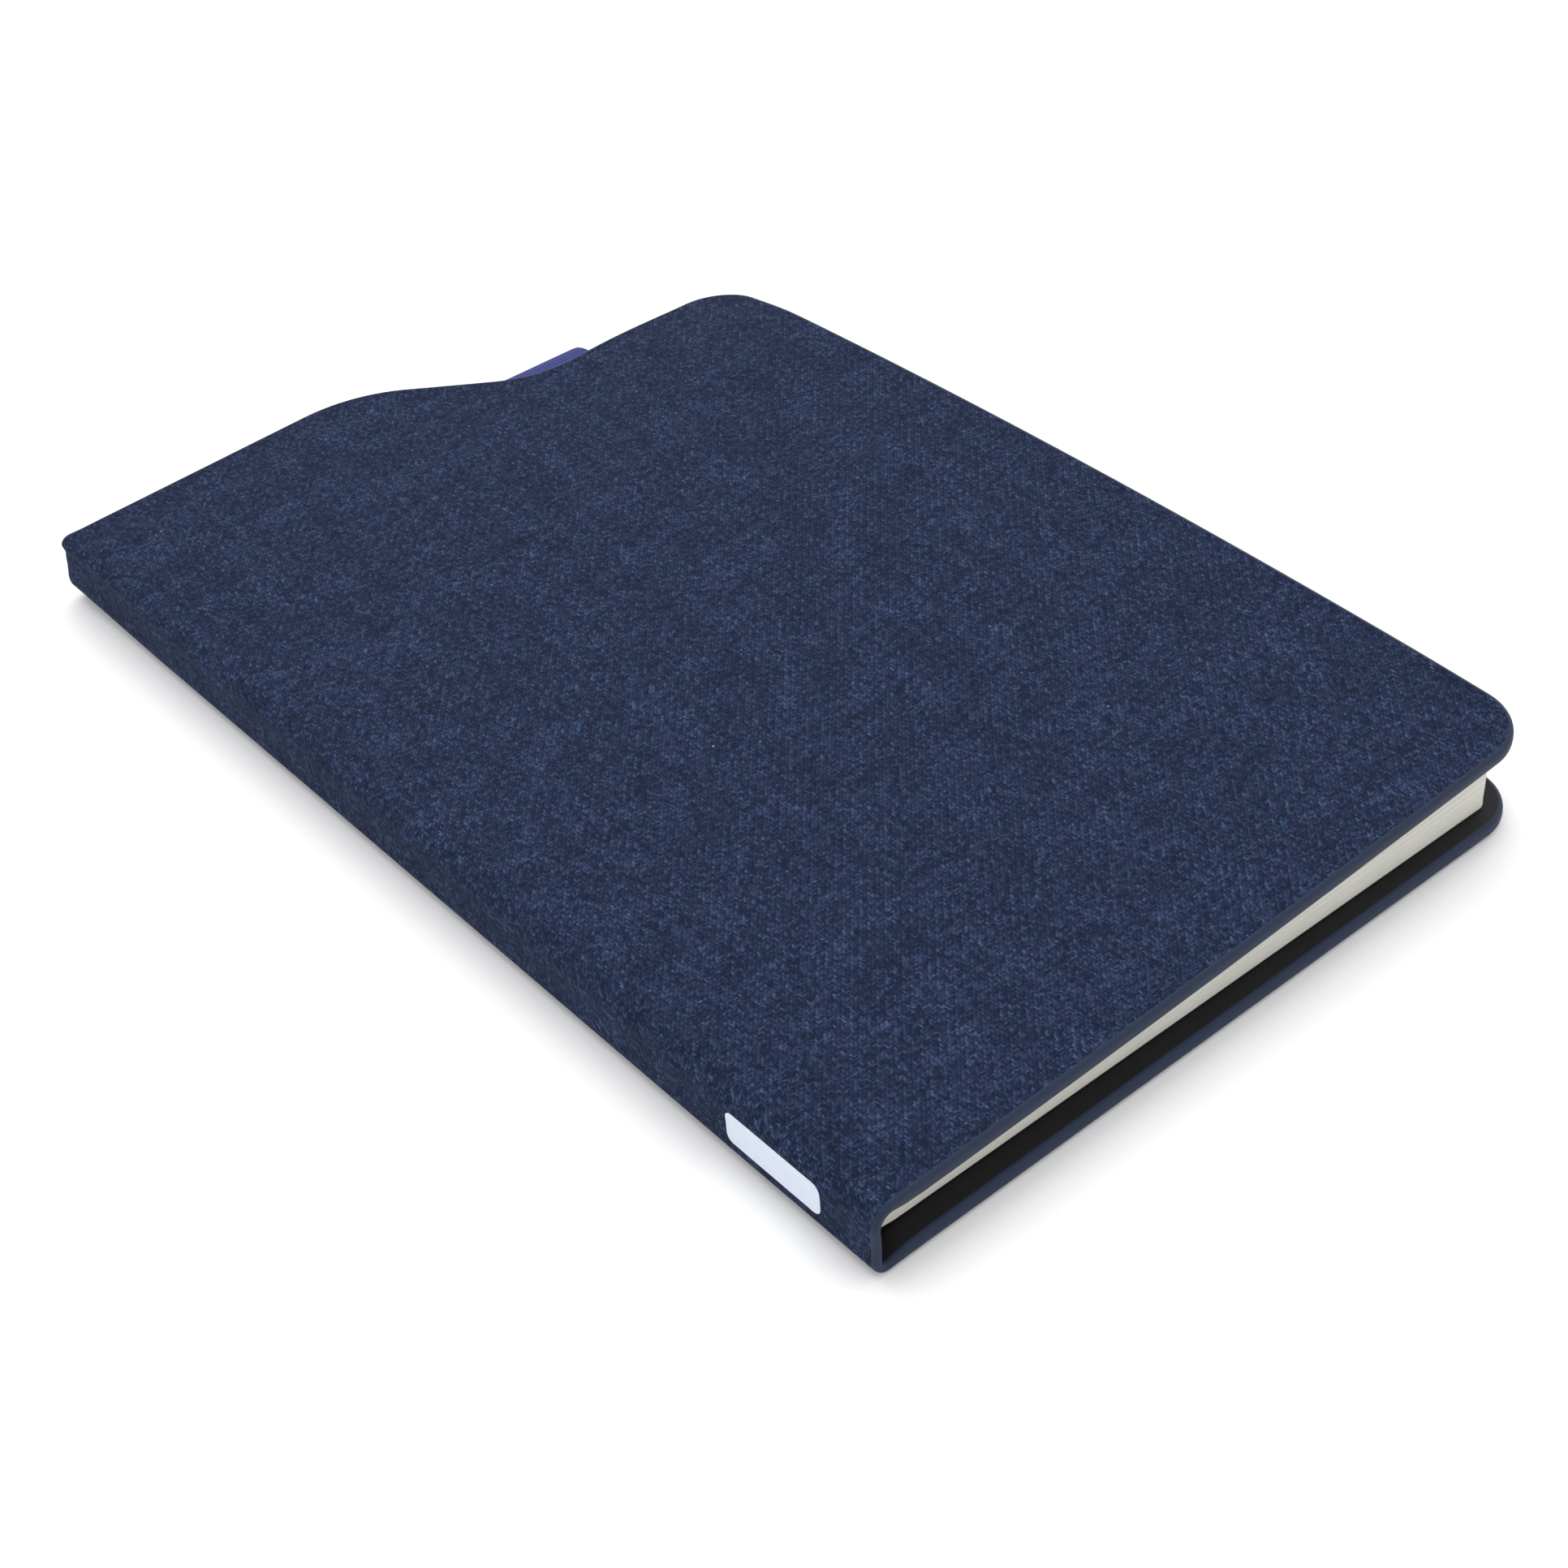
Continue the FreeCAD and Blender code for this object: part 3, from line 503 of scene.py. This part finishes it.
def bend_at_gutter(piece):
    """Bakes a piece's transform into its mesh; nothing bends it."""
    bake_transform(piece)


def sewing():
    """The thread runs up the folds at each station, in a small wave: one turn to a signature."""
    thread_x = SPINE_FACE + 3.0
    low, high = COVER + 0.5, HEIGHT - COVER - 0.5
    heights = np.linspace(low, high, 61)
    wave = np.cos((heights - low) / (high - low) * 2 * math.pi * SIGNATURES)
    skins = []
    for station in range(STITCH_STATIONS):
        y = 2 * HALF_LENGTH * ((station + 0.5) / STITCH_STATIONS - 0.5)
        path = np.stack([thread_x + 0.01 * wave, y + 0.12 * wave, heights], -1)
        skins.append(tube(path, THREAD_RADIUS))
    thread = make_piece("linen_stitches", skins, twisted_thread())
    bend_at_gutter(thread)
    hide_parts("sewing_thread")


def gauze():
    """Open gauze: short threads up the block, crossed by a few long ones."""
    gauze_x = SPINE_FACE + 2.95
    reach = HALF_LENGTH - 6
    skins = []
    for y in np.linspace(-reach, reach, 132):
        heights = np.linspace(COVER + 0.3, HEIGHT - COVER - 0.3, 14)
        path = np.stack([np.full_like(heights, gauze_x), np.full_like(heights, y), heights], -1)
        skins.append(tube(path, GAUZE_RADIUS, 4))
    for height in np.linspace(COVER + 0.5, HEIGHT - COVER - 0.5, 6):
        length = np.linspace(-reach, reach, 60)
        path = np.stack([np.full_like(length, gauze_x), length, np.full_like(length, height)], -1)
        skins.append(tube(path, GAUZE_RADIUS, 4))
    material, shader, place = new_material("gauze", None, Roughness=0.9)
    fuzz = place.noise(3000, 3)
    drive(shader, Base_Color=fuzz.blended((0.60, 0.57, 0.48), (0.80, 0.78, 0.70)), Height=(fuzz, 0.02))
    strip = make_piece("gauze_strip", skins, material)
    bend_at_gutter(strip)
    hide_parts("mull")


sewing()
gauze()

# ---------------------------------------------------------------------------------------------
# The boards: grey board in the front cover, the back cover and the spine. They stiffen the case
# and are hidden between the cloth and the black lining.
# ---------------------------------------------------------------------------------------------
FRONT_ROUND_TAIL, FRONT_ROUND_HEAD = 4.0, 2.0
BACK_ROUND, BACK_ROUND_MORE = 2.35, 1.1
CLOTH, LINING = 0.5, 0.3
SPINE_WALL, WALL_HOLLOW = 1.4, 0.11
HEAD_FLARE, HEAD_DIP, HEAD_LEAN = 0.45, 0.40, 0.3
BEND_END = 6.0
BOARD_INSET, BOARD_GAP = 1.1, 0.02


def round_radius(y, front):
    """The outer radius between the spine's wall and a cover. At the front it tightens to the head,
    and at the back it opens there."""
    if not front:
        return BACK_ROUND + BACK_ROUND_MORE * smoothstep(y, 75, HALF_LENGTH)
    return FRONT_ROUND_TAIL + (FRONT_ROUND_HEAD - FRONT_ROUND_TAIL) * (y + HALF_LENGTH) / (2 * HALF_LENGTH)


def seam_place(y, front):
    """Where the middle of the spine's wall lies on the flat map: a cover's own places run on
    round the corner, a quarter of a circle long, and down the wall."""
    radius = round_radius(y, front)
    return radius - radius * math.pi / 2 - (HEIGHT / 2 - radius)


def unroll(x, y, front):
    """Places on the flat map. Columns of the bend are numbered from -1 at the middle of the wall
    up to 0 at the end of the bend, and the rest are places across the cover already."""
    return np.where(x < 0, BEND_END - (seam_place(y, front) - BEND_END) * x, x)


def case_thickness(place):
    """The thickness of the case: the spine's wall, then growing to the cover's."""
    return SPINE_WALL + (COVER - SPINE_WALL) * smoothstep(place, 0.0, 8.0)


def case_point(place, y, depth, front=True):
    """A point of the case from its flat map. Beyond the round corner the outer face is a level
    cover; in the corner it is an arc; before that it is the spine's upright wall. depth runs
    inwards, square to the face. The wall is a little hollow, and flares at its head end."""
    place, y, depth = np.broadcast_arrays(place, y, depth)
    radius = round_radius(y, front)
    turn = np.clip((radius - place) / radius, 0, math.pi / 2)
    down = np.clip(radius - place - radius * math.pi / 2, 0, None)
    flat = np.clip(place - radius, 0, None)
    x = radius + flat - (radius - depth) * np.sin(turn)
    z = HEIGHT - radius + (radius - depth) * np.cos(turn) - down
    x = x + WALL_HOLLOW * np.cos(np.clip((z - HEIGHT / 2) / 4.6, -1, 1) * math.pi / 2) ** 2
    if front:
        z = z + front_lift(x, y) * smoothstep(place, HINGE_X, 5.0)
        x = x - HEAD_LEAN * smoothstep(y, 40, HALF_LENGTH) * np.sin(turn) * smoothstep(place, -5.0, 1.0)
    else:
        z = HEIGHT - z
    swell = HEAD_FLARE * np.exp(-((z - 4.0) / 2.2) ** 2) - HEAD_DIP * np.exp(-((z - 9.2) / 1.1) ** 2)
    x = x - swell * smoothstep(y, 75, HALF_LENGTH) * np.sin(turn)
    return np.stack([SPINE_FACE + x, y, z], -1)


def case_map(place, y, front=True):
    """The cloth's own flat map, which runs without a break from the front round to the back."""
    if front:
        return np.stack(np.broadcast_arrays(place, y), -1)
    return np.stack(np.broadcast_arrays(seam_place(y, True) - (place - seam_place(y, False)), y), -1)


BEND_COLUMNS = np.linspace(-1, 0, 20, endpoint=False)


def layer(place, y, outside, inside, front):
    """A closed layer of the case between two depths."""
    return shell(case_point(place, y, outside, front), case_point(place, y, inside, front),
                 case_map(place, y, front))


def grey_board():
    """Pressed grey board: flecked fibres, pale and dark."""
    material, shader, place = new_material("grey_board", None, Roughness=0.92)
    fleck = place.noise(900, 5, 0.7)
    drive(shader, Base_Color=fleck.blended((0.22, 0.21, 0.19), (0.44, 0.42, 0.38)), Height=(fleck, 0.03))
    return material


def boards():
    """A board in each cover, and a strip in the spine made of two halves that meet at its middle."""
    grey = grey_board()
    for side in ("front", "back"):
        x, y = plan_grid(BEND_END, BOARD_INSET)
        inside = case_thickness(x) - LINING - BOARD_GAP
        skin = layer(x, y, CLOTH + BOARD_GAP, inside, side == "front")
        board = make_piece(f"{side}_grey_board", [skin], grey)
        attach(board, f"{side}_cover")
        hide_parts(f"{side}_board")
    skins = []
    for front in (True, False):
        along = np.linspace(-HALF_LENGTH + BOARD_INSET, HALF_LENGTH - BOARD_INSET, 40)
        step, y = np.meshgrid(np.linspace(0, 3.4, 8), along, indexing="ij")
        inside = SPINE_WALL - LINING - BOARD_GAP
        skins.append(layer(seam_place(y, front) + step, y, CLOTH + BOARD_GAP, inside, front))
    board = make_piece("spine_grey_board", skins, grey)
    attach(board, "spine")
    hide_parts("spine_board")


boards()

# ---------------------------------------------------------------------------------------------
# The cloth: navy melange twill, round the front cover, the spine and the back cover. It is made
# as two halves that meet in the middle of the spine's wall. Pale and dark yarns mix as short
# slanting strokes, with cloudy patches and faint streaks.
# ---------------------------------------------------------------------------------------------
CLOTH_INSET = 0.7
YARN, YARN_STRETCH = 0.26, 1.12


def per_yarn(flat, number, run, seed):
    """A random brightness for each float, from its yarn's number and its run's."""
    place = flat.node("CombineXYZ", {0: number, 1: run, 2: seed})
    return flat.node("TexWhiteNoise", {"Vector": place}, noise_dimensions="3D")


def melange_cloth():
    """A three-and-three twill. Cell (i, j) shows the warp where i - j is in the first half of a
    run of six, and the weft in the second. Each float has a brightness of its own, from noise on
    its number, over soft strokes, clumps and streaks. Painted shade darkens the rounded edges of
    the yarns and the grooves at the ends of the floats."""
    material, shader, flat = new_material("navy_cloth", "flat", Roughness=0.95, Specular_IOR_Level=0.15)
    u, v = flat.parts()
    bend = flat.noise(0.9, 3, 0.6)
    sway = flat.stretched((1, 1, 1), 90).noise(0.9, 3, 0.6)
    across, along = (u + bend * 0.8) / YARN, (v + sway * 0.8) / (YARN * YARN_STRETCH)
    column, row = across.math("FLOOR"), along.math("FLOOR")
    above_zero = 6000
    step = (row - column + above_zero) / 6.0
    run = step.math("FLOOR")
    weft = step.math("FRACT") > 0.49
    across_yarn, along_yarn = across.ridge(), along.ridge()
    warp_height = 1 - across_yarn * across_yarn
    weft_height = 1 - along_yarn * along_yarn
    warp_tone, weft_tone = per_yarn(flat, column, run, 0.0), per_yarn(flat, row, run, 7.0)
    tone = weft.node("Mix", {0: weft, 2: warp_tone, 3: weft_tone}, data_type="FLOAT")
    height = weft.node("Mix", {0: weft, 2: warp_height, 3: weft_height}, data_type="FLOAT")
    strokes = flat.stretched((1, 0.40, 1), 18).noise(2.6, 2, 0.5)
    strokes = strokes - flat.stretched((0.40, 1, 1), 18).noise(2.6, 2, 0.5)
    clumps = flat.noise(0.9, 3, 0.65)
    cloud = flat.noise(0.13, 2)
    streak = flat.stretched((1, 0.1, 1)).noise(0.5, 3) + flat.stretched((0.1, 1, 1)).noise(0.5, 3)
    share = tone * 0.55 + strokes * 0.75 + (clumps - 0.5) * 0.55
    share = share + (cloud - 0.5) * 0.35 + (streak - 1.0) * 0.35
    ends = (step * 2).ridge()
    # Painted shade: the colour is darker where the yarn's height falls, at its rounded edges, and in the
    # grooves at the float ends.
    share = share + height * 0.14 - weft * 0.07 - ends * ends * 0.22 + 0.06
    colour = share.node("ValToRGB", {0: share}, stops=[
        (0.0, (0.0045, 0.0095, 0.0270)),
        (1.0, (0.0800, 0.1280, 0.2500)),
        (0.30, (0.0100, 0.0185, 0.0480)),
        (0.62, (0.0270, 0.0440, 0.1000)),
    ])
    violet = share.blended((0.0120, 0.0140, 0.0400), (0.0470, 0.0510, 0.1200))
    colour = (flat.noise(0.45, 3, 0.6).smooth(0.42, 0.62) * 0.30).blended(colour, violet)
    lint = flat.node("TexVoronoi", {"Vector": flat, "Scale": 0.10}, feature="F1") < 0.020
    colour = (lint * 0.6).blended(colour, (0.30, 0.34, 0.40))
    drive(shader, Base_Color=colour, Height=(height * 0.4 - ends * ends * 0.3 + share * 0.8, 0.09))
    return material


def cover_cloth(side, material):
    """Half of the cloth: one cover, its round corner and half of the spine's wall."""
    front = side == "front"
    x, y = plan_grid(BEND_END, CLOTH_INSET, 60, BEND_COLUMNS)
    return make_piece(f"{side}_cover_cloth", [layer(unroll(x, y, front), y, 0.0, CLOTH, front)], material)


def bend_with_case(piece, side):
    """Bakes a piece of the case's transform into its mesh, the same for the front and the back; nothing bends
    it."""
    if side == "front":
        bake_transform(piece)
    else:
        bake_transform(piece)


navy_cloth = melange_cloth()
for side, nodes in (("front", ("front_cloth", "front_joint_cloth", "spine_cloth")),
                    ("back", ("back_cloth", "back_joint_cloth"))):
    cloth = cover_cloth(side, navy_cloth)
    bend_with_case(cloth, side)
    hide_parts(*nodes)

# ---------------------------------------------------------------------------------------------
# The lining: near-black paper glued inside both covers and down the inside of the spine. It
# shows past the pages, round the tail and the fore-edge.
# ---------------------------------------------------------------------------------------------
for side, nodes in (("front", ("front_pastedown", "front_joint_lining", "spine_lining")),
                    ("back", ("back_pastedown", "back_joint_lining"))):
    front = side == "front"
    x, y = plan_grid(BEND_END, CLOTH_INSET, 40, BEND_COLUMNS)
    place = unroll(x, y, front)
    inside = case_thickness(place)
    skin = layer(place, y, inside - LINING, inside, front)
    lining = make_piece(f"{side}_inner_lining", [skin], black_lining)
    bend_with_case(lining, side)
    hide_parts(*nodes)

# ---------------------------------------------------------------------------------------------
# The sealed edges: a smooth navy rim, pressed and sealed round the cut edges of the covers and
# the ends of the spine. It is round like a bull nose and laps a little over cloth and lining.
# ---------------------------------------------------------------------------------------------
NOSE, NOSE_POWER = 0.7, 2.4
LAP, LAP_PROUD = 0.10, 0.012


def points_at(x, y):
    """Points in the plan from x and y, either of which may be one number."""
    return np.stack(np.broadcast_arrays(x, y), -1)


def rim_path(inset):
    """Points round the outline at an inset, from the spine at the tail, round the fore-edge, to
    the spine at the head. Straight stretches are shared out evenly and round ones are arcs."""
    radius = CORNER - inset
    fore, edge = WIDTH - CORNER, HALF_LENGTH - inset
    crest, valley = CREST_R - inset, VALLEY_R + inset
    low_y = HALF_LENGTH - STEP
    quarter = np.linspace(0, math.pi / 2, 15)
    sweep = np.linspace(0, FALL, 15)
    tail = points_at(np.concatenate([BEND_COLUMNS, np.linspace(BEND_END, fore, 40)]), -edge)
    tail_corner = points_at(fore + radius * np.sin(quarter), CORNER - HALF_LENGTH - radius * np.cos(quarter))
    fore_edge = points_at(fore + radius, np.linspace(CORNER - HALF_LENGTH, low_y - CORNER, 50))
    head_corner = points_at(fore + radius * np.cos(quarter), low_y - CORNER + radius * np.sin(quarter))
    low = points_at(np.linspace(fore, VALLEY_X, 10), low_y - inset)
    hollow = points_at(VALLEY_X - valley * np.sin(sweep), low_y + VALLEY_R - valley * np.cos(sweep))
    round_top = points_at(CREST_X + crest * np.sin(sweep), HALF_LENGTH - CREST_R + crest * np.cos(sweep))
    round_top = round_top[::-1]
    fall = hollow[-1] + (round_top[0] - hollow[-1]) * np.linspace(0, 1, 6)[:, None]
    head = points_at(np.concatenate([np.linspace(CREST_X, BEND_END, 16), BEND_COLUMNS[::-1]]), edge)
    later = (tail_corner, fore_edge, head_corner, low, hollow, fall, round_top, head)
    return np.concatenate([tail, *(stretch[1:] for stretch in later)])


def sealed_edge():
    """Smooth navy coating with a soft sheen, slightly uneven where it was pressed."""
    material, shader, place = new_material("sealed_edge", None, Specular_IOR_Level=0.25)
    press = place.noise(260, 3, 0.6)
    fine = place.noise(2200, 2, 0.5)
    colour = press.blended((0.0075, 0.0150, 0.0400), (0.0120, 0.0220, 0.0520))
    drive(shader, Base_Color=colour, Roughness=press * 0.25 + 0.42, Height=(press * 0.7 + fine * 0.3, 0.05))
    return material


def cover_rim(side, material):
    """The rim's section is a closed ring of points: the lap over the cloth, the nose, the lap over
    the lining, and back inside. The nose follows |m|^2.4 + |i|^2.4 = 1 in depth and inset."""
    front = side == "front"
    nose = np.linspace(-1, 1, 13)
    inner = NOSE + LAP
    hollow = np.maximum(1 - np.abs(nose) ** NOSE_POWER, 0) ** (1 / NOSE_POWER)
    inset = np.concatenate([[inner], NOSE * (1 - hollow), np.full(4, inner)])
    share = np.concatenate([[0.0], (nose + 1) / 2, [1.0, 0.75, 0.5, 0.25]])
    proud = np.zeros(len(inset))
    proud[[0, 1]] = -LAP_PROUD
    proud[[len(nose), len(nose) + 1]] = LAP_PROUD
    rings = []
    for one_inset, one_share, one_proud in zip(inset, share, proud):
        x, y = rim_path(one_inset).T
        place = unroll(x, y, front)
        rings.append(case_point(place, y, case_thickness(place) * one_share + one_proud, front))
    points, faces = ringed_skin(np.stack(rings, 1))
    return make_piece(f"{side}_sealed_rim", [(points, faces, np.zeros((len(points), 2)))], material, sharp=60)


navy_seal = sealed_edge()
for side in ("front", "back"):
    rim = cover_rim(side, navy_seal)
    bend_with_case(rim, side)
    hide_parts(f"{side}_edge_seal")

# ---------------------------------------------------------------------------------------------
# The label: a plain white transfer with round corners, pressed onto the spine near the tail. The
# cloth's weave shows through it faintly.
# ---------------------------------------------------------------------------------------------
LABEL_HALF, LABEL_CORNER, LABEL_TRIM = 2.75, 1.3, 2.2
LABEL_PROUD, LABEL_SUNK = 0.05, 0.06


def spine_label():
    """Columns run across the label and lie closer at its ends, where they are shorter by
    r - sqrt(r^2 - d^2), with d how far they are past the round corner's centre."""
    low_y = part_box("spine_label")[0].y / MM
    high_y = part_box("spine_label")[1].y / MM - LABEL_TRIM
    middle, half_long = (low_y + high_y) / 2, (high_y - low_y) / 2
    y = middle + half_long * np.sin(np.linspace(-math.pi / 2, math.pi / 2, 31))
    past = np.clip(np.abs(y - middle) - (half_long - LABEL_CORNER), 0, LABEL_CORNER)
    tall = LABEL_HALF - LABEL_CORNER + np.sqrt(np.maximum(LABEL_CORNER ** 2 - past ** 2, 0))
    up = np.linspace(-1, 1, 25)[None, :] * tall[:, None]
    along = np.repeat(y[:, None], up.shape[1], 1)

    def on_spine(depth):
        """The label's points at a depth in the wall, above its middle and below it."""
        over = case_point(seam_place(along, True) + np.maximum(up, 0), along, depth, True)
        under = case_point(seam_place(along, False) + np.maximum(-up, 0), along, depth, False)
        return np.where((up > 0)[..., None], over, under)

    flat = np.stack([up, along], -1)
    material, shader, place = new_material("white_transfer", "flat", Roughness=0.5)
    weave = place.stretched((1, 0.4, 1), 38).noise(2.6, 3)
    worn = place.noise(0.7, 5, 0.7)
    colour = worn.blended((0.56, 0.61, 0.74), (0.70, 0.75, 0.85))
    drive(shader, Base_Color=colour, Height=(weave, 0.04))
    skin = shell(on_spine(-LABEL_PROUD), on_spine(LABEL_SUNK), flat)
    label = make_piece("plain_white_label", [skin], material)
    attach(label, "spine")
    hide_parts("spine_label")


spine_label()

# ---------------------------------------------------------------------------------------------
# The pen loop: a royal-blue elastic band folded into a flat loop, its ends held inside the back
# cover. Fine ribs run along the band, and its cut sides are soft and rounded.
# ---------------------------------------------------------------------------------------------
BAND, BAND_SKEW = 0.9, 2.4
RIB, RIB_RISE = 0.8, 0.015
LOOP_POWER, CROWN_POWER = 2.5, 14


def ribbed_elastic():
    """Covered elastic: ribs run round the loop, crossed by a fine even weave. Painted shade darkens the
    grooves between the ribs and between the picks.
    """
    material, shader, flat = new_material("blue_elastic", "flat", Roughness=0.8, Specular_IOR_Level=0.2)
    u, v = flat.parts()
    rib, pick = (u / RIB).ridge(), (v / 0.35).ridge()
    patchy = flat.noise(0.6, 3)
    height = (1 - rib * rib) * 0.7 + pick * 0.3
    # Painted shade: the colour follows the ribs' and picks' height, darker in their grooves; the patchy noise
    # is the band's own uneven tone.
    tone = height * 0.6 + patchy * 0.4
    colour = tone.blended((0.014, 0.020, 0.100), (0.044, 0.060, 0.230))
    drive(shader, Base_Color=colour, Height=(height, 0.04))
    return material


def pen_loop():
    """The band follows a flattened oval, |y/a|^2.5 + |z/b|^2.5 = 1, and leans a little towards the
    spine as it rises. A flat tab holds it in the cover."""
    low, high = (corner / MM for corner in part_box("pen_loop"))
    near, far = HALF_LENGTH - STEP + 1.4, high.y - 0.7
    tall = high.z - 0.3
    centre, reach = (near + far) / 2, (far - near) / 2
    angle = np.linspace(0, 2 * math.pi, 97)[:-1]
    width = np.linspace(-1, 1, 49)
    half_wide = (high.x - low.x) / 2

    def section(inset):
        """The oval's points, drawn in by the inset."""
        sides = np.stack([np.cos(angle), np.sin(angle)])
        y, z = np.sign(sides) * np.abs(sides) ** (2 / LOOP_POWER)
        return np.stack([centre + (reach - inset) * y, tall / 2 + (tall / 2 - inset) * z])

    outline, middle = section(0.0), section(BAND / 2)
    normal = (outline - middle) / np.linalg.norm(outline - middle, axis=0)
    ribs = RIB_RISE * np.cos(width * 10 / RIB * 2 * math.pi) * (np.abs(width) < 0.95)
    half_thick = BAND / 2 * (1 - np.abs(width) ** CROWN_POWER) ** 0.5 + ribs
    grids = []
    for face in (1, -1):
        y, z = middle[:, :, None] + normal[:, :, None] * half_thick * face
        x = (low.x + high.x) / 2 + width * half_wide - BAND_SKEW * (z - tall / 2) / tall
        grids.append(np.stack([x, y, z], -1))
    count, cols = len(angle), len(width)
    index = np.arange(count * cols).reshape(count, cols)
    after = np.roll(index, -1, 0)
    top = np.stack([index[:, :-1], after[:, :-1], after[:, 1:], index[:, 1:]], -1).reshape(-1, 4)
    below = count * cols
    first = np.stack([index[:, 0], index[:, 0] + below, after[:, 0] + below, after[:, 0]], -1)
    last = np.stack([index[:, -1], after[:, -1], after[:, -1] + below, index[:, -1] + below], -1)
    points = np.concatenate([grid.reshape(-1, 3) for grid in grids])
    faces = outward(points, np.concatenate([top, top[:, ::-1] + below, first, last]))
    length = np.concatenate([[0], np.cumsum(np.hypot(*np.diff(outline, axis=1)))])
    flat = points_at(width[None, :] * 10, length[:, None]).reshape(-1, 2)
    ring = (points, faces, np.concatenate([flat, flat]))

    tab_x, tab_y = np.linspace(low.x, high.x, 24), np.linspace(low.y, near + 0.8, 12)
    tab_x, tab_y = np.meshgrid(tab_x, tab_y, indexing="ij")
    tab_top, tab_foot = (np.stack([tab_x, tab_y, np.full_like(tab_x, COVER - LINING - down)], -1)
                         for down in (0.05, 0.95))
    tab = shell(tab_top, tab_foot, np.stack([tab_x - tab_x.mean(), tab_y - near], -1))
    loop = make_piece("blue_pen_loop", [ring, tab], ribbed_elastic(), 50)
    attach(loop, "back_cover")
    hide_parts("pen_loop")


pen_loop()
